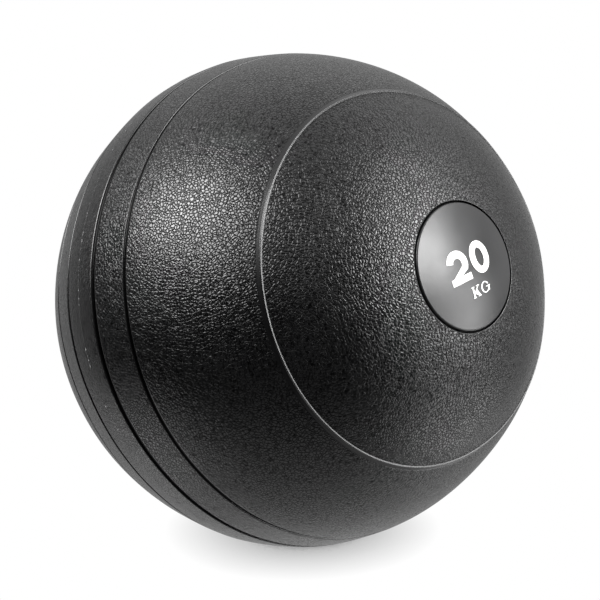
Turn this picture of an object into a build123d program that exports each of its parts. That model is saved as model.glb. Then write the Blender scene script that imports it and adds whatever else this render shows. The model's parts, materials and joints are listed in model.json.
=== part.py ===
from build123d import *
from math import asin, cos, degrees, radians, sin
import os

# A 20 kg sand-filled medicine ball ("slam ball"), in millimetres.
# The origin is the ball's centre and +Z is up. The ball is a solid of revolution about its
# polar axis, which runs through the two discs. It lies with the marked disc towards -Y,
# raised by pole_tilt, on a small flat patch where its soft shell yields to the floor.

# Moulded shell
belt_radius = 140.0  # the raised belt round the equator, the ball's largest radius
wall_thickness = 7.0  # under the caps
pole_tilt = 15.0  # of the marked pole above level, in degrees
patch_depth = 2.0  # squash of the shell under its own load

# Steps up from each cap to a band and from the band to the belt, each with a groove at its foot
step_angles = (75.5, 85.0)  # in degrees from the pole
step_rises = (0.8, 1.2)
groove_widths = (1.9, 2.7)
groove_depth = 0.6
edge_round = 0.45  # rounding of each step's upper edge

# Fine raised lines on the shell
bead_angle = 44.5  # of the ring on each cap, in degrees from the pole
bead_width = 1.2
bead_height = 0.6
flash_width = 0.6  # of the mould's parting line, round the equator
flash_height = 0.25

# Discs, set in a shallow recess at each pole
recess_radius = 32.8
recess_depth = 2.6
disc_gap = 1.0  # groove left round each disc
disc_edge_round = 0.9

# Filling hole and its plug, at the unmarked pole
hole_radius = 8.0
head_radius = 12.0
head_edge_round = 0.5
stem_length = 14.0  # below the head, so it reaches past the wall into the sand
running_gap = 0.08  # round the plug, on the radius
seat_gap = 0.1  # under the plug's head, and between the sand and the wall
pocket_gap = 0.5  # in the sand, past the end of the plug's stem

# Sand filling
fill_level = 36.5  # of the sand's top above the ball's centre

# Weight mark, printed on the marked disc: heights are from the disc's centre
ink_thickness = 0.2
print_angle = 14.0  # anticlockwise turn of the mark about the pole
digit_width = 13.4
digit_height = 16.2
digit_stroke = 3.8
digit_thin = 3.3  # stroke at the foot of the 2 and at the ends of the 0
digit_base = -6.3
digit_offset = 7.9  # of each digit's centre line, either side of the disc's centre
bowl_start = 165.0  # of the 2's bowl, in degrees
bowl_end = -38.0
letter_height = 5.6
letter_stem = 0.85
letter_hairline = 0.36
letter_base = -15.9
k_left = -4.2
k_width = 5.5
g_centre = 5.4
g_width = 5.8

# Derived sizes
band_radius = belt_radius - step_rises[1]
cap_radius = band_radius - step_rises[0]
floor_radius = cap_radius - recess_depth
cavity_radius = cap_radius - wall_thickness
rest_height = band_radius - patch_depth
disc_radius = recess_radius - disc_gap
stem_end_radius = floor_radius - stem_length
ink_radius = cap_radius + ink_thickness

# Polar frames: a section's Y is the distance along the polar axis
pole = Vector(0, -cos(radians(pole_tilt)), sin(radians(pole_tilt)))
polar_axis = Axis((0, 0, 0), pole)
section_plane = Plane(origin=(0, 0, 0), x_dir=(1, 0, 0), z_dir=(0, -pole.Z, pole.Y))
front_plane = Plane(origin=(0, 0, 0), x_dir=(1, 0, 0), z_dir=pole)
rear_plane = Plane(origin=(0, 0, 0), x_dir=(-1, 0, 0), z_dir=-pole)
print_x = Vector(1, 0, 0).rotate(polar_axis, print_angle)
print_plane = Plane(origin=pole * floor_radius, x_dir=print_x, z_dir=pole)


def polar(radius, angle):
    """Point at a radius and an angle in degrees, anticlockwise from X."""
    return radius * cos(radians(angle)), radius * sin(radians(angle))


def on_sphere(radius, angle):
    """Section point at a radius and an angle in degrees from the pole."""
    return polar(radius, 90 - angle)


def angle_at(offset, radius):
    """Angle in degrees from the pole where a sphere is this far from the polar axis."""
    return degrees(asin(offset / radius))


def sphere_arc(radius, start, end):
    """Arc of a sphere's section between two angles from the pole."""
    return CenterArc((0, 0), radius, 90 - end, end - start)


def domed_plate(radius, bottom_radius, top_radius):
    """Section of a round plate between two spheres about the ball's centre."""
    bottom_angle = angle_at(radius, bottom_radius)
    top_angle = angle_at(radius, top_radius)
    with BuildLine() as edge:
        sphere_arc(bottom_radius, 0, bottom_angle)
        sphere_arc(top_radius, 0, top_angle)
        Line(on_sphere(bottom_radius, bottom_angle), on_sphere(top_radius, top_angle))
        Line((0, bottom_radius), (0, top_radius))
    make_face(edge.edges())


def round_rim(plate, radius):
    """Round the outer edge of a plate that has been revolved about the polar axis."""
    rims = plate.edges().filter_by(lambda edge: edge.is_closed)
    fillet(rims.sort_by(polar_axis)[-1], radius=radius)


def bar(left, right, bottom, top):
    """Upright rectangle in the current sketch."""
    Polygon((left, bottom), (right, bottom), (right, top), (left, top), align=None)


# The space inside the shell, with a flat bottom that keeps the wall even over the patch
with BuildPart() as cavity:
    Sphere(cavity_radius)
    split(bisect_by=Plane.XY.offset(wall_thickness - rest_height), keep=Keep.TOP)

# Outer shell: one moulding with its bands, beads and disc recesses
with BuildPart() as outer_shell:
    with BuildSketch(section_plane):
        with BuildLine():
            floor_angle = angle_at(recess_radius, floor_radius)
            rim_angle = angle_at(recess_radius, cap_radius)
            sphere_arc(floor_radius, 0, floor_angle)
            Line(on_sphere(floor_radius, floor_angle), on_sphere(cap_radius, rim_angle))

            bead_half = degrees(bead_width / 2 / cap_radius)
            bead_start = on_sphere(cap_radius, bead_angle - bead_half)
            bead_crest = on_sphere(cap_radius + bead_height, bead_angle)
            bead_end = on_sphere(cap_radius, bead_angle + bead_half)
            sphere_arc(cap_radius, rim_angle, bead_angle - bead_half)
            ThreePointArc(bead_start, bead_crest, bead_end)

            foot_radius = cap_radius
            band_start = bead_angle + bead_half
            for step_angle, rise, groove_width in zip(step_angles, step_rises, groove_widths):
                top_radius = foot_radius + rise
                lip_angle = step_angle - degrees(groove_width / foot_radius)
                edge_angle = step_angle + degrees(edge_round / top_radius)
                groove_lip = on_sphere(foot_radius, lip_angle)
                groove_foot = on_sphere(foot_radius - groove_depth, (lip_angle + step_angle) / 2)
                face_top = on_sphere(top_radius - edge_round, step_angle)
                band_edge = on_sphere(top_radius, edge_angle)
                sphere_arc(foot_radius, band_start, lip_angle)
                Polyline(groove_lip, groove_foot, face_top)
                RadiusArc(face_top, band_edge, edge_round)
                foot_radius = top_radius
                band_start = edge_angle

            flash_angle = 90 - degrees(flash_width / 2 / belt_radius)
            flash_edge = on_sphere(belt_radius, flash_angle)
            sphere_arc(belt_radius, band_start, flash_angle)
            Polyline(flash_edge, (belt_radius + flash_height, 0), (0, 0), (0, floor_radius))
        make_face()
    revolve(axis=polar_axis)
    mirror(about=front_plane)
    split(bisect_by=Plane.XY.offset(-rest_height), keep=Keep.TOP)
    add(cavity.part, mode=Mode.SUBTRACT)
    with BuildSketch(rear_plane.offset(cavity_radius - wall_thickness)):
        Circle(hole_radius)
    extrude(amount=2 * wall_thickness, mode=Mode.SUBTRACT)
outer_shell.part.label = "outer_shell"

# Marked disc: a domed plate that fills the front recess but for the groove round it
with BuildPart() as weight_disc:
    with BuildSketch(section_plane):
        domed_plate(disc_radius, floor_radius, cap_radius)
    revolve(axis=polar_axis)
    round_rim(weight_disc, disc_edge_round)
weight_disc.part.label = "weight_disc"

# Rear disc: the same plate with a hole for the plug's head
with BuildPart() as rear_disc:
    mirror(weight_disc.part, about=front_plane)
    with BuildSketch(rear_plane.offset(cavity_radius)):
        Circle(head_radius)
    extrude(amount=2 * wall_thickness, mode=Mode.SUBTRACT)
rear_disc.part.label = "rear_disc"

# Plug, drawn at the front: a domed head on a plain stem
with BuildPart() as plug_blank:
    with BuildSketch(section_plane):
        domed_plate(head_radius - running_gap, floor_radius + seat_gap, cap_radius)
    revolve(axis=polar_axis)
    round_rim(plug_blank, head_edge_round)
    with BuildSketch(section_plane):
        domed_plate(hole_radius - running_gap, stem_end_radius, cap_radius - head_edge_round)
    revolve(axis=polar_axis)

# Plug in its place: its head finishes flush with the rear disc
with BuildPart() as fill_plug:
    mirror(plug_blank.part, about=front_plane)
fill_plug.part.label = "fill_plug"

# Sand: settled to a level top, about two thirds of the way up, and packed round the plug's stem
with BuildPart() as sand_fill:
    Sphere(cavity_radius - seat_gap)
    split(bisect_by=Plane.XY.offset(wall_thickness + seat_gap - rest_height), keep=Keep.TOP)
    split(bisect_by=Plane.XY.offset(fill_level), keep=Keep.BOTTOM)
    with BuildSketch(rear_plane.offset(stem_end_radius - pocket_gap)):
        Circle(hole_radius)
    extrude(amount=2 * stem_length, mode=Mode.SUBTRACT)
sand_fill.part.label = "sand_fill"

# A thin layer over the marked disc, from which each printed mark is cut
with BuildPart() as ink_layer:
    Sphere(ink_radius)
    Sphere(cap_radius, mode=Mode.SUBTRACT)

# Numerals: a bold 2 and 0
with BuildPart() as weight_numerals:
    with BuildSketch(print_plane):
        bowl_radius = digit_width / 2
        bowl_centre = digit_height - bowl_radius
        with Locations((-digit_offset, digit_base + bowl_centre)):
            Circle(bowl_radius)
            Circle(bowl_radius - digit_stroke, mode=Mode.SUBTRACT)
            opening = [(0, 0), polar(digit_width, bowl_start), (-digit_width, -digit_width)]
            opening += [(digit_width, -digit_width), polar(digit_width, bowl_end)]
            Polygon(*opening, align=None, mode=Mode.SUBTRACT)
        with Locations((-digit_offset, digit_base)):
            neck_inside = Vector(0, bowl_centre) + Vector(*polar(bowl_radius - digit_stroke, bowl_end))
            neck_outside = Vector(0, bowl_centre) + Vector(*polar(bowl_radius, bowl_end))
            leg = [neck_inside, neck_outside, (0, digit_thin)]
            leg += [(-bowl_radius, 0), (-bowl_radius, digit_thin * 0.7)]
            Polygon(*leg, align=None)
            bar(-bowl_radius, bowl_radius, 0, digit_thin)
        with Locations((digit_offset, digit_base + digit_height / 2)):
            Ellipse(digit_width / 2, digit_height / 2)
            Ellipse(digit_width / 2 - digit_stroke, digit_height / 2 - digit_thin, mode=Mode.SUBTRACT)
    extrude(amount=2 * wall_thickness)
    add(ink_layer.part, mode=Mode.INTERSECT)
weight_numerals.part.label = "weight_numerals"

# Unit: a small serif K and G
with BuildPart() as unit_letters:
    with BuildSketch(print_plane):
        stem_right = 1.5 * letter_hairline + letter_stem
        joint = (stem_right, 0.42 * letter_height)
        with Locations((k_left, letter_base)):
            bar(1.5 * letter_hairline, stem_right, 0, letter_height)
            for serif_base in (0, letter_height - letter_hairline):
                bar(0, stem_right + 1.5 * letter_hairline, serif_base, serif_base + letter_hairline)
                bar(0.62 * k_width, k_width, serif_base, serif_base + letter_hairline)
            arm_top = (0.8 * k_width, letter_height - letter_hairline)
            arm_outside = (0.8 * k_width + 1.5 * letter_hairline, letter_height - letter_hairline)
            Polygon(arm_top, arm_outside, (joint[0], joint[1] - letter_hairline), joint, align=None)
            leg_left = (k_width - 1.8 * letter_stem, letter_hairline)
            leg_right = (k_width - 0.4 * letter_stem, letter_hairline)
            Polygon(leg_left, leg_right, (0.62 * k_width, 0.66 * letter_height), joint, align=None)
        with Locations((g_centre, letter_base + letter_height / 2)):
            Ellipse(g_width / 2, letter_height / 2)
            Ellipse(g_width / 2 - letter_stem, letter_height / 2 - letter_hairline, mode=Mode.SUBTRACT)
            mouth = [(0, 0), (g_width, 0), (g_width, 0.5 * letter_height)]
            Polygon(*mouth, align=None, mode=Mode.SUBTRACT)
            bar(g_width / 2 - letter_stem, g_width / 2, -0.4 * letter_height, 0)
            bar(0.12 * g_width, 0.62 * g_width, -letter_hairline / 2, letter_hairline / 2)
    extrude(amount=2 * wall_thickness)
    add(ink_layer.part, mode=Mode.INTERSECT)
unit_letters.part.label = "unit_letters"

os.makedirs("parts", exist_ok=True)
export_step(outer_shell.part, "parts/outer_shell.step")
export_step(weight_disc.part, "parts/weight_disc.step")
export_step(rear_disc.part, "parts/rear_disc.step")
export_step(fill_plug.part, "parts/fill_plug.step")
export_step(sand_fill.part, "parts/sand_fill.step")
export_step(weight_numerals.part, "parts/weight_numerals.step")
export_step(unit_letters.part, "parts/unit_letters.step")
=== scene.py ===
import json
from math import asin, atan2, cos, degrees, hypot, pi, radians, sin

import bmesh
import bpy
import numpy as np
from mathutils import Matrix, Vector, noise


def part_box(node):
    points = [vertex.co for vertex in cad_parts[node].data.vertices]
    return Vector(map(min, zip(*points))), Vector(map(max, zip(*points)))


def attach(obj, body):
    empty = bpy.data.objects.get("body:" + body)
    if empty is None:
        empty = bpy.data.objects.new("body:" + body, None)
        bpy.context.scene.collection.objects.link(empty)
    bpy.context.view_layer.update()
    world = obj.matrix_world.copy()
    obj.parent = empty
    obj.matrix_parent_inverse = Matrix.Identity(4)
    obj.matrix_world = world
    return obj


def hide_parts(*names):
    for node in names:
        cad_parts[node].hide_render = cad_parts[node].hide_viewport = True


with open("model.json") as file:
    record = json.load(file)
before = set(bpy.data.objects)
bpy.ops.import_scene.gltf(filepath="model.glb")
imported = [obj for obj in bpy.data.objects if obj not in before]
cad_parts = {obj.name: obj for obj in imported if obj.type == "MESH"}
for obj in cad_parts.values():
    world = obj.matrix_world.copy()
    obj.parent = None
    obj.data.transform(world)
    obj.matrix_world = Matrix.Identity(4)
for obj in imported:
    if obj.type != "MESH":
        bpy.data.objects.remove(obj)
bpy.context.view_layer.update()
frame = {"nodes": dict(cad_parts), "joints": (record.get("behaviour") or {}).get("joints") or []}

# =============================================================================================
# Sizes, in metres. The ball's centre is the frame's origin. Overall sizes and places are read
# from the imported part, and the relief is given in millimetres as in the part's own drawing.
# Angles along the profile are in degrees from the pole.
# =============================================================================================
MM = 0.001

shell_low, shell_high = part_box("outer_shell")
disc_low, disc_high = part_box("weight_disc")
sand_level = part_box("sand_fill")[1].z

REAR = Vector(frame["joints"][0]["axis"]).normalized()  # the plug leaves along the rear pole
POLE = -REAR
ACROSS = Vector((1, 0, 0))
FACE_UP = POLE.cross(ACROSS)  # completes the polar frame: up the face of the marked disc

# Steps up to the band and from there to the belt, each with a groove at its foot. Most of each
# step is spread over the surface before it, which swells up to the groove.
STEP_RISES = (0.8 * MM, 1.2 * MM)
GROOVE_ANGLES = (75.1, 84.5)  # middles
GROOVE_WIDTHS = (1.9 * MM, 2.7 * MM)
GROOVE_DEPTHS = (0.6 * MM, 0.85 * MM)
GROOVE_RISES = (0.1 * MM, 0.3 * MM)  # how far the groove's far side stands above its near side
EDGE_ROUND = 0.5 * MM

# Fine raised lines: the ring on each cap, and the mould's parting line round the equator
BEAD_ANGLE = 44.5
BEAD_WIDTH = 1.2 * MM
BEAD_HEIGHT = 0.6 * MM
MARGIN_WIDTH = 1.5 * MM  # smooth strip beside the bead
FLASH_WIDTH = 0.6 * MM
FLASH_HEIGHT = 0.25 * MM  # as moulded
FLASH_LEFT = 0.06 * MM  # where a knife has cut the line down

# Walls, recesses, and the filling hole with its plug
WALL = 7.0 * MM
RIM_ROUND = 0.4 * MM  # edge of each recess
DISC_THICKNESS = 2.6 * MM
DISC_GAP = 1.0 * MM  # groove left round each disc
SEAT_GAP = 0.1 * MM  # between the sand and the wall
HOLE_RADIUS = 8.0 * MM
STEM_LENGTH = 14.0 * MM  # of the plug, from the recess's floor inwards
POCKET_GAP = 0.5 * MM  # in the sand, past the end of the stem

# The shell's unevenness: nothing within the first angle from a pole, full beyond the second
UNEVEN_START, UNEVEN_FULL = 20, 36
UNEVEN_HEIGHT = 0.9 * MM
UNEVEN_LENGTH = 70 * MM
UNEVEN_SEED = Vector((3.1, 0.4, 1.7))
PATCH_SOFTNESS = 0.25 * MM  # of the turn at the edge of the flat patch

# The sand's top
RIPPLE_HEIGHT = 1.5 * MM
RIPPLE_LENGTH = 25 * MM

BELT_RADIUS = (shell_high.x - shell_low.x) / 2 - FLASH_HEIGHT
BAND_RADIUS = BELT_RADIUS - STEP_RISES[1]
CAP_RADIUS = BAND_RADIUS - STEP_RISES[0]
CAVITY_RADIUS = CAP_RADIUS - WALL
FLOOR_RADIUS = CAP_RADIUS - DISC_THICKNESS  # of the sphere that each recess's floor is part of
REST_LEVEL = shell_low.z
DISC_RADIUS = (disc_high.x - disc_low.x) / 2
RECESS_RADIUS = DISC_RADIUS + DISC_GAP

# Mesh density
SHELL_SEGMENTS = 280
SAND_SEGMENTS = 240
COARSE = 3.0 * MM
FINE = 0.22 * MM
GROWTH = 1.7  # each step away from an edge is this much longer than the last
TOUCHING = FINE / 100  # points closer than this are one
WALL_STEPS, ROUND_STEPS, POCKET_STEPS, RIDGE_STEPS, CAVITY_STEPS = 3, 4, 6, 8, 36

# Surface zones, which the shell's material reads: how much grain, or a groove's floor painted in shade, or
# the parting line with its painted glints
SHADED, SMOOTH, BELT_GRAIN, FULL_GRAIN, SEAM = -1.0, 0.0, 0.9, 1.0, 2.0
GRAIN_FADE = 0.8 * MM  # how far the grain takes to start beside the bead's margin


# =============================================================================================
# Profiles. A run is a list of points (distance from the polar axis, distance along it).
# =============================================================================================
def on_sphere(radius, angle):
    """Profile point at a radius and an angle from the marked pole."""
    return radius * sin(radians(angle)), radius * cos(radians(angle))


def angle_at(offset, radius):
    """Angle from the pole at which a sphere is this far from the polar axis."""
    return degrees(asin(offset / radius))


def sphere_run(radius, start, end, fine_ends=True):
    """Along a sphere between two angles, with points crowded towards both ends, or evenly spaced."""
    length = radius * radians(end - start)
    step = FINE if fine_ends else COARSE
    places = [0.0]
    while places[-1] < length / 2:
        places.append(places[-1] + step)
        step = min(step * GROWTH, COARSE)
    stretch = length / 2 / places[-1]
    half = [place * stretch for place in places]
    along = half + [length - place for place in reversed(half[:-1])]
    return [on_sphere(radius, start + degrees(place / radius)) for place in along]


def shares(count):
    """Evenly spaced shares from 0 to 1."""
    return [i / count for i in range(count + 1)]


def line_run(start, end, count):
    """Along a straight line."""
    return [(start[0] + (end[0] - start[0]) * s, start[1] + (end[1] - start[1]) * s) for s in shares(count)]


def round_run(start, corner, end):
    """From start to end round a corner, on a quadratic curve."""
    points = []
    for t in shares(ROUND_STEPS):
        weights = ((1 - t) ** 2, 2 * t * (1 - t), t * t)
        points.append(tuple(sum(w * p[k] for w, p in zip(weights, (start, corner, end))) for k in (0, 1)))
    return points


def ridge_run(radius, angle, width, height):
    """Across a fine raised line."""
    half = degrees(width / 2 / radius)
    return [on_sphere(radius + height * sin(pi * s), angle + half * (2 * s - 1)) for s in shares(RIDGE_STEPS)]


def swelling_run(start_radius, end_radius, start, end):
    """Along a surface that swells smoothly from one radius to another, most of it near the end."""
    points = []
    for offset, along in sphere_run(start_radius, start, end):
        share = (degrees(atan2(offset, along)) - start) / (end - start)
        scale = 1 + (end_radius / start_radius - 1) * share * share
        points.append((offset * scale, along * scale))
    return points


def groove_parts(radius, rise, start, end, depth):
    """Across a groove with a rounded floor and edges, up to a slightly higher surface."""
    round_angle = degrees(EDGE_ROUND / radius)
    near_lip = [on_sphere(radius, start - round_angle), on_sphere(radius, start)]
    near_wall = on_sphere(radius - EDGE_ROUND, start)
    floor = [on_sphere(radius - depth, angle) for angle in (start, (start + end) / 2, end)]
    far_wall = on_sphere(radius + rise - EDGE_ROUND, end)
    far_lip = [on_sphere(radius + rise, end), on_sphere(radius + rise, end + round_angle)]
    hollow = round_run(near_wall, *floor[:2]) + round_run(*floor[1:], far_wall)[1:]
    # The groove's hollow is the SHADED zone, which the material paints in shade.
    return [
        (round_run(*near_lip, near_wall), SMOOTH),
        (hollow[1:-1], SHADED),
        (round_run(far_wall, *far_lip), SMOOTH),
    ]


def zoned(*parts):
    """Joins (run, zone) pairs into points (offset, along, zone), without repeated points."""
    points = []
    for run, zone in parts:
        for offset, along in run:
            if points and hypot(offset - points[-1][0], along - points[-1][1]) < TOUCHING:
                points.pop()
            points.append((offset, along, zone))
    return points


def mirrored(points):
    """The same points on the other half of the ball, in reverse order."""
    return [(offset, -along, zone) for offset, along, zone in reversed(points)]


def rim_run():
    """Up a recess's wall, parallel to the polar axis, and over its rounded edge onto the cap."""
    wall_foot = on_sphere(FLOOR_RADIUS, angle_at(RECESS_RADIUS, FLOOR_RADIUS))
    corner = on_sphere(CAP_RADIUS, angle_at(RECESS_RADIUS, CAP_RADIUS))
    wall_top = (RECESS_RADIUS, corner[1] - RIM_ROUND)
    past = on_sphere(CAP_RADIUS, angle_at(RECESS_RADIUS + RIM_ROUND, CAP_RADIUS))
    return line_run(wall_foot, wall_top, WALL_STEPS)[:-1] + round_run(wall_top, corner, past)


def shell_half():
    """The shell's outside from the recess wall's foot to the equator."""
    rim_end = angle_at(RECESS_RADIUS + RIM_ROUND, CAP_RADIUS)
    bead_half = degrees(BEAD_WIDTH / 2 / CAP_RADIUS)
    margin_end = BEAD_ANGLE + bead_half + degrees(MARGIN_WIDTH / CAP_RADIUS)
    parts = [
        (rim_run(), SMOOTH),
        (sphere_run(CAP_RADIUS, rim_end, BEAD_ANGLE - bead_half), FULL_GRAIN),
        (ridge_run(CAP_RADIUS, BEAD_ANGLE, BEAD_WIDTH, BEAD_HEIGHT), SMOOTH),
        (sphere_run(CAP_RADIUS, BEAD_ANGLE + bead_half, margin_end), SMOOTH),
    ]
    radius = CAP_RADIUS
    start = margin_end + degrees(GRAIN_FADE / CAP_RADIUS)
    grooves = zip(GROOVE_ANGLES, STEP_RISES, GROOVE_WIDTHS, GROOVE_DEPTHS, GROOVE_RISES)
    for angle, rise, width, depth, lip in grooves:
        near_radius = radius + rise - lip
        half = degrees(width / 2 / near_radius)
        round_angle = degrees(EDGE_ROUND / near_radius)
        parts.append((swelling_run(radius, near_radius, start, angle - half - round_angle), FULL_GRAIN))
        parts += groove_parts(near_radius, lip, angle - half, angle + half, depth)
        radius += rise
        start = angle + half + round_angle
    flash_start = 90 - degrees(FLASH_WIDTH / 2 / BELT_RADIUS)
    parts.append((sphere_run(BELT_RADIUS, start, flash_start), BELT_GRAIN))
    parts.append(([(BELT_RADIUS + FLASH_LEFT, 0.0)], SEAM))
    return zoned(*parts)


def shell_profile():
    """The whole shell: outside from pole to pole, the filling hole, and back along the inside."""
    floor_edge = angle_at(RECESS_RADIUS, FLOOR_RADIUS)
    hole_edge = 180 - angle_at(HOLE_RADIUS, FLOOR_RADIUS)
    hole_end = 180 - angle_at(HOLE_RADIUS, CAVITY_RADIUS)
    floor = sphere_run(FLOOR_RADIUS, 0, floor_edge, fine_ends=False)
    rear_floor = sphere_run(FLOOR_RADIUS, 180 - floor_edge, hole_edge, fine_ends=False)
    hole = line_run(on_sphere(FLOOR_RADIUS, hole_edge), on_sphere(CAVITY_RADIUS, hole_end), WALL_STEPS)
    inside = [on_sphere(CAVITY_RADIUS, hole_end * (1 - s)) for s in shares(CAVITY_STEPS)]
    half = shell_half()
    front = zoned((floor, SMOOTH)) + half[1:]
    back = mirrored(half)[1:]
    return front + back[:-1] + zoned((rear_floor, SMOOTH), (hole, SMOOTH), (inside, SMOOTH))


def sand_profile():
    """A ball of sand with a pocket at the rear for the plug's stem."""
    radius = CAVITY_RADIUS - SEAT_GAP
    pocket_end = -(FLOOR_RADIUS - STEM_LENGTH - POCKET_GAP)
    mouth_angle = 180 - angle_at(HOLE_RADIUS, radius)
    outside = [on_sphere(radius, mouth_angle * s) for s in shares(round(radius * pi / COARSE))]
    wall = line_run(outside[-1], (HOLE_RADIUS, pocket_end), POCKET_STEPS)
    end = line_run((HOLE_RADIUS, pocket_end), (0, pocket_end), POCKET_STEPS)
    return zoned((outside, SMOOTH), (wall, SMOOTH), (end, SMOOTH))


# =============================================================================================
# Mesh code
# =============================================================================================
def new_piece(name, verts, faces):
    """A smooth-shaded mesh object with its normals pointing out."""
    mesh = bpy.data.meshes.new(name)
    mesh.from_pydata([tuple(v) for v in verts], [], faces)
    work = bmesh.new()
    work.from_mesh(mesh)
    bmesh.ops.recalc_face_normals(work, faces=work.faces)
    work.to_mesh(mesh)
    work.free()
    mesh.shade_smooth()
    piece = bpy.data.objects.new(name, mesh)
    bpy.context.scene.collection.objects.link(piece)
    return piece


def revolve(name, profile, segments):
    """A piece from a profile of (offset, along, zone), turned about the polar axis."""
    turns = [2 * pi * i / segments for i in range(segments)]
    spokes = [ACROSS * cos(turn) + FACE_UP * sin(turn) for turn in turns]
    verts, zones, rows = [], [], []
    for offset, along, zone in profile:
        on_axis = offset < TOUCHING
        first = len(verts)
        for spoke in spokes[:1] if on_axis else spokes:
            verts.append(spoke * offset + POLE * along)
            zones.append(zone)
        rows.append([first] * segments if on_axis else list(range(first, first + segments)))
    faces = []
    for near, far in zip(rows, rows[1:]):
        for i in range(segments):
            corners = (near[i], near[i - 1], far[i - 1], far[i])
            faces.append(list(dict.fromkeys(corners)))  # three corners where a row is one point
    piece = new_piece(name, verts, faces)
    attribute = piece.data.attributes.new("zone", "FLOAT", "POINT")
    attribute.data.foreach_set("value", zones)
    return piece


def coordinates(piece):
    """A mesh's points as an array."""
    flat = np.empty(len(piece.data.vertices) * 3)
    piece.data.vertices.foreach_get("co", flat)
    return flat.reshape(-1, 3)


def set_coordinates(piece, points):
    """Writes an array back to a mesh's points."""
    piece.data.vertices.foreach_set("co", points.ravel())
    piece.data.update()


def soft_floor(heights, level):
    """Heights kept above a level, with a soft turn where they meet it."""
    return level + PATCH_SOFTNESS * np.logaddexp(0, (heights - level) / PATCH_SOFTNESS)


def flatten_patch(piece, gap):
    """Presses a piece flat where the ball stands: its outside on the floor, its inside a wall above it."""
    points = coordinates(piece)
    inside = np.linalg.norm(points, axis=1) < CAVITY_RADIUS + WALL / 4
    level = np.where(inside, REST_LEVEL + WALL + gap, REST_LEVEL)
    points[:, 2] = soft_floor(points[:, 2], level)
    set_coordinates(piece, points)


# =============================================================================================
# Materials. Their coordinates are in millimetres, so a noise's scale is its features a millimetre.
# =============================================================================================
NOISE_LOW, NOISE_HIGH = 0.3, 0.7  # a noise texture's useful range

PEBBLE_SIZE = 1.55  # millimetres
WARP_SCALE = 0.6  # features of the pebbles' shift over one pebble
WARP_REACH = 0.9  # how far they shift, as a share of the size
PEBBLE_SLOPE = 0.26  # distance from a crease to full height, as a share of the size
PEBBLE_ROUNDING = 0.65  # a power of that distance: below 1 gives rounded pebbles
PEBBLE_HEIGHT = 0.13 * MM
FINE_SHARE = 0.35  # of the fine roughness that lies over the pebbles
CREASE_PAINTED_SHADE = 0.95  # how much a crease between pebbles is darkened by painted shade, in colour and shine
GROOVE_PAINTED_LIGHT = 0.1  # how much colour and shine a groove's painted shade leaves
SHELL_SHINE, DISC_SHINE = 0.55, 0.42  # specular levels, where plain plastic is 0.5
DISC_RIPPLE = 0.03 * MM
INK_HEIGHT = 0.03 * MM
SAND_SCALE = 1.6
SAND_RELIEF = 0.3 * MM

NIB_SPACING, NIB_RADIUS, NIB_BLUR = 2.3, 0.3, 0.05  # millimetres, then shares of the spacing
NIB_GLINT_TONE, LINE_SHEEN_TONE = 0.5, 0.04  # painted glints on the cut nibs, and the faint painted sheen of the parting line between them


def node(tree, kind, inputs=None, **settings):
    """A shader node with its settings, and its inputs set to values or linked to sockets."""
    made = tree.nodes.new("ShaderNode" + kind)
    for key, value in settings.items():
        setattr(made, key, value)
    for key, value in (inputs or {}).items():
        if isinstance(value, bpy.types.NodeSocket):
            tree.links.new(value, made.inputs[key])
        else:
            made.inputs[key].default_value = value
    return made


def maths(tree, operation, *values):
    """The result socket of a Math node."""
    return node(tree, "Math", dict(enumerate(values)), operation=operation).outputs[0]


def ranged(tree, value, low, high, new_low=0.0, new_high=1.0):
    """A value mapped from one range to another, and clamped."""
    limits = {"Value": value, "From Min": low, "From Max": high, "To Min": new_low, "To Max": new_high}
    return node(tree, "MapRange", limits).outputs[0]


def clouded(tree, noise_value, new_low, new_high):
    """A noise value's useful range mapped to a new one."""
    return ranged(tree, noise_value, NOISE_LOW, NOISE_HIGH, new_low, new_high)


def mottle(tree, place, scale, detail):
    """A smooth noise value."""
    return node(tree, "TexNoise", {"Vector": place, "Scale": scale, "Detail": detail}).outputs["Fac"]


def mixed(tree, factor, first, second):
    """A colour mixed from two, each an RGB triple or a socket."""
    colours = [c if isinstance(c, bpy.types.NodeSocket) else (*c, 1) for c in (first, second)]
    inputs = {"Factor": factor, "A": colours[0], "B": colours[1]}
    return node(tree, "Mix", inputs, data_type="RGBA").outputs["Result"]


def bump(tree, height, distance):
    """The normal of a surface raised by height times distance."""
    return node(tree, "Bump", {"Height": height, "Strength": 1.0, "Distance": distance}).outputs[0]


def surface(name, make_inputs):
    """A material with one Principled shader, whose inputs make_inputs works out from the place."""
    material = bpy.data.materials.new(name)
    material.use_nodes = True
    tree = material.node_tree
    tree.nodes.clear()
    object_place = node(tree, "TexCoord").outputs["Object"]
    place = node(tree, "VectorMath", {0: object_place, "Scale": 1 / MM}, operation="SCALE").outputs[0]
    shader = node(tree, "BsdfPrincipled", make_inputs(tree, place))
    node(tree, "OutputMaterial", {"Surface": shader.outputs[0]})
    return material


def pebbles(tree, place):
    """Height of a dense grain of rounded pebbles, from 0 in the narrow creases to 1 on the crowns."""
    warp = node(tree, "TexNoise", {"Vector": place, "Scale": WARP_SCALE / PEBBLE_SIZE, "Detail": 1.0})
    centred = node(tree, "VectorMath", {0: warp.outputs["Color"], 1: (0.5, 0.5, 0.5)}, operation="SUBTRACT")
    reach = {0: centred.outputs[0], "Scale": WARP_REACH * PEBBLE_SIZE}
    shift = node(tree, "VectorMath", reach, operation="SCALE").outputs[0]
    warped = node(tree, "VectorMath", {0: place, 1: shift}).outputs[0]
    cells = {"Vector": warped, "Scale": 1 / PEBBLE_SIZE, "Randomness": 1.0}
    edge = node(tree, "TexVoronoi", cells, feature="DISTANCE_TO_EDGE").outputs["Distance"]
    return maths(tree, "POWER", ranged(tree, edge, 0.0, PEBBLE_SLOPE), PEBBLE_ROUNDING)


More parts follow.
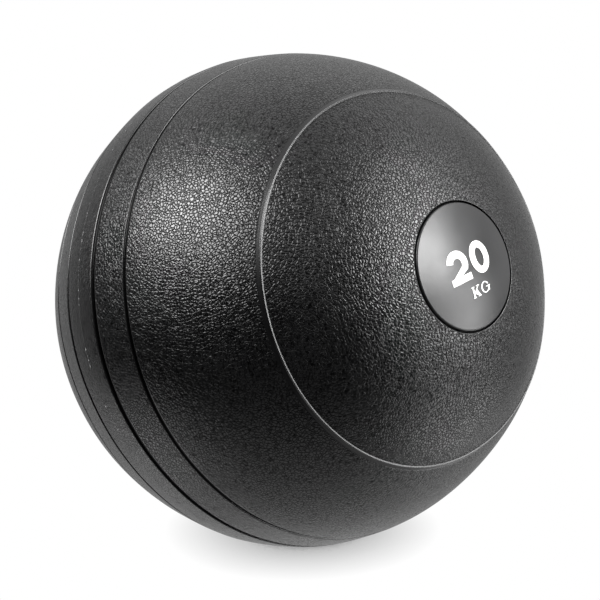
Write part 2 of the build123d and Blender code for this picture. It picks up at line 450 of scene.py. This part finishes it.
def grained_pvc(tree, place):
    """Black soft PVC with a moulded pebble grain, smooth on its lines, with painted shade in its creases and
    grooves, and painted glints on the parting line's nibs.
    """
    zone = node(tree, "Attribute", attribute_name="zone").outputs["Fac"]
    grained = ranged(tree, zone, SMOOTH, FULL_GRAIN)
    crowns = pebbles(tree, place)
    relief = maths(tree, "MULTIPLY_ADD", mottle(tree, place, scale=1.3, detail=2.0), FINE_SHARE, crowns)

    # Painted shade: the creases between pebbles lose colour and shine, as if in shadow.
    creases = maths(tree, "MULTIPLY", maths(tree, "SUBTRACT", 1.0, crowns), grained)
    # Painted shade: a groove's floor loses most of its colour and shine.
    groove_painted_light = ranged(tree, zone, SHADED, SMOOTH, GROOVE_PAINTED_LIGHT, 1.0)
    painted_light_share = maths(tree, "SUBTRACT", groove_painted_light, maths(tree, "MULTIPLY", creases, CREASE_PAINTED_SHADE))
    cloud = mottle(tree, place, scale=0.03, detail=3.0)
    tone = maths(tree, "MULTIPLY", painted_light_share, clouded(tree, cloud, 0.75, 1.0))
    black = mixed(tree, tone, (0.0, 0.0, 0.0), (0.0025, 0.0025, 0.0027))

    # Painted highlights: pale spots stand for the glints on the parting line's cut nibs, with a faint painted
    # sheen between them.
    spots = node(tree, "TexVoronoi", {"Vector": place, "Scale": 1 / NIB_SPACING}).outputs["Distance"]
    nibs = ranged(tree, spots, NIB_RADIUS - NIB_BLUR, NIB_RADIUS + NIB_BLUR, NIB_GLINT_TONE, LINE_SHEEN_TONE)
    pale = maths(tree, "MULTIPLY", ranged(tree, zone, FULL_GRAIN, SEAM), nibs)
    return {
        # colour with painted shade, and painted glints on the parting line
        "Base Color": mixed(tree, pale, black, (1.0, 1.0, 1.0)),
        # shine lowered by the painted shade in creases and grooves
        "Specular IOR Level": maths(tree, "MULTIPLY", painted_light_share, SHELL_SHINE),
        "Roughness": clouded(tree, cloud, 0.24, 0.30),
        "Normal": bump(tree, maths(tree, "MULTIPLY", relief, grained), PEBBLE_HEIGHT),
    }


def satin_pvc(tree, place):
    """Smooth black satin PVC with a faint orange-peel surface and slightly uneven shine."""
    cloud = mottle(tree, place, scale=0.09, detail=4.0)
    return {
        "Base Color": mixed(tree, cloud, (0.004, 0.004, 0.0043), (0.007, 0.007, 0.0074)),
        "Specular IOR Level": DISC_SHINE,
        "Roughness": clouded(tree, cloud, 0.31, 0.37),
        "Normal": bump(tree, mottle(tree, place, scale=0.35, detail=3.0), DISC_RIPPLE),
    }


def white_ink(tree, place):
    """White printing ink, slightly uneven in coverage and height."""
    cover = mottle(tree, place, scale=1.2, detail=4.0)
    return {
        "Base Color": mixed(tree, cover, (0.86, 0.86, 0.85), (0.95, 0.95, 0.94)),
        "Roughness": clouded(tree, cover, 0.45, 0.6),
        "Normal": bump(tree, cover, INK_HEIGHT),
    }


def iron_sand(tree, place):
    """Iron sand: dark grains with a few paler and brighter ones."""
    grains = node(tree, "TexVoronoi", {"Vector": place, "Scale": SAND_SCALE})
    tint = node(tree, "SeparateColor", {"Color": grains.outputs["Color"]}).outputs["Red"]
    few_pale = maths(tree, "POWER", tint, 3.0)
    domes = ranged(tree, grains.outputs["Distance"], 0.0, 0.6, 1.0, 0.0)
    return {
        "Base Color": mixed(tree, few_pale, (0.02, 0.018, 0.017), (0.16, 0.13, 0.11)),
        "Roughness": ranged(tree, tint, 0.0, 1.0, 0.8, 0.45),
        "Normal": bump(tree, domes, SAND_RELIEF),
    }


def dress(piece, material):
    """Gives a piece its one material."""
    piece.data.materials.clear()
    piece.data.materials.append(material)


# =============================================================================================
# Pieces
# =============================================================================================
def soften_roundness(piece):
    """Gives the shell's outside the slight unevenness of a heavy ball, but not around its discs."""
    points = coordinates(piece)
    radii = np.linalg.norm(points, axis=1)
    from_pole = np.degrees(np.arccos(np.clip(np.abs(points @ np.array(POLE)) / radii, 0, 1)))
    spread = np.clip((from_pole - UNEVEN_START) / (UNEVEN_FULL - UNEVEN_START), 0, 1)
    spread *= radii > CAVITY_RADIUS + WALL / 2
    swell = [noise.noise(Vector(point) / UNEVEN_LENGTH + UNEVEN_SEED) for point in points]
    points *= (1 + UNEVEN_HEIGHT * np.array(swell) * spread / radii)[:, None]
    set_coordinates(piece, points)


def ripple_top(piece):
    """Cuts the sand off at its level, with a lightly rippled top."""
    points = coordinates(piece)
    ripples = [RIPPLE_HEIGHT * (noise.noise(Vector(point) / RIPPLE_LENGTH) - 1) for point in points]
    points[:, 2] = np.minimum(points[:, 2], sand_level + np.array(ripples))
    set_coordinates(piece, points)


def settle(piece, material, cad_node):
    """Finishes a piece that stands for a CAD node and moves with the ball."""
    dress(piece, material)
    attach(piece, "ball")
    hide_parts(cad_node)


shell = revolve("shell_skin", shell_profile(), SHELL_SEGMENTS)
soften_roundness(shell)
flatten_patch(shell, 0.0)
settle(shell, surface("grained_pvc", grained_pvc), "outer_shell")

sand = revolve("sand_bed", sand_profile(), SAND_SEGMENTS)
flatten_patch(sand, SEAT_GAP)
ripple_top(sand)
settle(sand, surface("iron_sand", iron_sand), "sand_fill")

satin = surface("satin_pvc", satin_pvc)
for name in ("weight_disc", "rear_disc", "fill_plug"):
    dress(frame["nodes"][name], satin)
ink = surface("white_ink", white_ink)
for name in ("weight_numerals", "unit_letters"):
    dress(frame["nodes"][name], ink)


# =============================================================================================
# Studio. Angles here are in degrees.
# =============================================================================================
CAMERA_AZIMUTH = -38.4  # from -Y
CAMERA_ELEVATION = 10.4
CAMERA_DISTANCE = 5.0 * BELT_RADIUS
FIELD_OF_VIEW = 27.72
AIM_DROP = 0.75 * MM  # how far below the ball's centre the camera aims

FLOOR_HALF = 4.0  # half the width of the floor
SHADOW_REACH = 0.02  # how near the ball must be to cast the floor's painted shadow
SHADOW_STRENGTH = 0.25
SHADOW_SAMPLES = 16

# Glow of the room as the ball reflects it: where it starts, where it is full, and how strong.
# Ceiling and floor go by the height of a direction, and the back by how far it points away
# from the camera, each from -1 to 1.
CEILING = (0.3, 0.8, 0.0, 1.0)
FLOOR = (-0.5, -0.9, 0.0, 0.65)
BACK = (0.1, 0.6, 0.0, 0.55)

LAMP_DISTANCE = 1.2
LAMPS = (  # name, azimuth from the camera's, elevation, width, height, power in watts
    ("left_key", -50, 39, 0.6, 0.6, 18),
    ("left_wide", -72, 36, 0.5, 0.5, 11),
    ("left_below", -95, -45, 0.6, 0.6, 1.7),
    ("right_key", 60, 23, 0.45, 0.5, 19),
    ("right_low", 74, -2, 0.5, 0.5, 8),
    ("right_high", 74, 46, 0.6, 0.5, 6),
    ("right_side", 106, 20, 0.5, 1.0, 1.8),
    ("right_below", 88, -38, 0.8, 0.5, 3.7),
)


def direction(azimuth, elevation):
    """Unit vector from the ball towards a place, by azimuth from -Y and elevation."""
    turn, rise = radians(azimuth), radians(elevation)
    return Vector((sin(turn) * cos(rise), -cos(turn) * cos(rise), sin(rise)))


def aim(thing, place, target):
    """Puts a camera or a lamp in its place, facing a target, and adds it to the scene."""
    thing.location = place
    thing.rotation_mode = "QUATERNION"
    thing.rotation_quaternion = (target - place).to_track_quat("-Z", "Y")
    bpy.context.scene.collection.objects.link(thing)


def make_camera():
    """The camera, at the reference view."""
    data = bpy.data.cameras.new("camera")
    data.angle = radians(FIELD_OF_VIEW)
    camera = bpy.data.objects.new("camera", data)
    aim(camera, direction(CAMERA_AZIMUTH, CAMERA_ELEVATION) * CAMERA_DISTANCE, Vector((0, 0, -AIM_DROP)))
    bpy.context.scene.camera = camera


def make_floor():
    """A white sweep: it shines evenly to the camera, with a painted shadow where the ball stands close over
    it.
    """
    corners = [(x * FLOOR_HALF, y * FLOOR_HALF, REST_LEVEL) for x, y in ((-1, -1), (1, -1), (1, 1), (-1, 1))]
    mesh = bpy.data.meshes.new("floor")
    mesh.from_pydata(corners, [], [(0, 1, 2, 3)])
    floor = bpy.data.objects.new("floor", mesh)
    bpy.context.scene.collection.objects.link(floor)
    material = bpy.data.materials.new("white_sweep")
    material.use_nodes = True
    tree = material.node_tree
    tree.nodes.clear()
    # Painted shadow: the floor's glow is dimmed by ambient occlusion where the ball is near.
    nearness = node(tree, "AmbientOcclusion", {"Distance": SHADOW_REACH}, samples=SHADOW_SAMPLES)
    painted_shadow_glow = maths(tree, "POWER", nearness.outputs["AO"], SHADOW_STRENGTH)
    glow = node(tree, "Emission", {"Color": (1, 1, 1, 1), "Strength": painted_shadow_glow})
    node(tree, "OutputMaterial", {"Surface": glow.outputs[0]})
    floor.data.materials.append(material)
    floor.visible_diffuse = False
    floor.visible_glossy = False
    floor.visible_shadow = False


def softbox(name, azimuth, elevation, width, height, power):
    """A soft rectangular lamp that faces the ball."""
    data = bpy.data.lights.new(name, "AREA")
    data.shape = "RECTANGLE"
    data.size = width
    data.size_y = height
    data.energy = power
    lamp = bpy.data.objects.new(name, data)
    aim(lamp, direction(CAMERA_AZIMUTH + azimuth, elevation) * LAMP_DISTANCE, Vector((0, 0, 0)))


def make_world():
    """White to the camera. The ball sees a pale ceiling, floor and back, and a dark room in front."""
    world = bpy.data.worlds.new("studio")
    world.use_nodes = True
    tree = world.node_tree
    outward = node(tree, "TexCoord").outputs["Generated"]
    away = -direction(CAMERA_AZIMUTH, 0)
    behind = node(tree, "VectorMath", {0: outward, 1: away}, operation="DOT_PRODUCT").outputs["Value"]
    height = node(tree, "SeparateXYZ", {"Vector": outward}).outputs["Z"]
    ends = maths(tree, "ADD", ranged(tree, height, *CEILING), ranged(tree, height, *FLOOR))
    glow = maths(tree, "ADD", ends, ranged(tree, behind, *BACK))
    seen = node(tree, "LightPath").outputs["Is Camera Ray"]
    background = tree.nodes["Background"]
    background.inputs["Color"].default_value = (1, 1, 1, 1)
    tree.links.new(maths(tree, "MAXIMUM", seen, glow), background.inputs["Strength"])
    bpy.context.scene.world = world
    bpy.context.scene.view_settings.view_transform = "Standard"


make_camera()
make_floor()
make_world()
for lamp_settings in LAMPS:
    softbox(*lamp_settings)
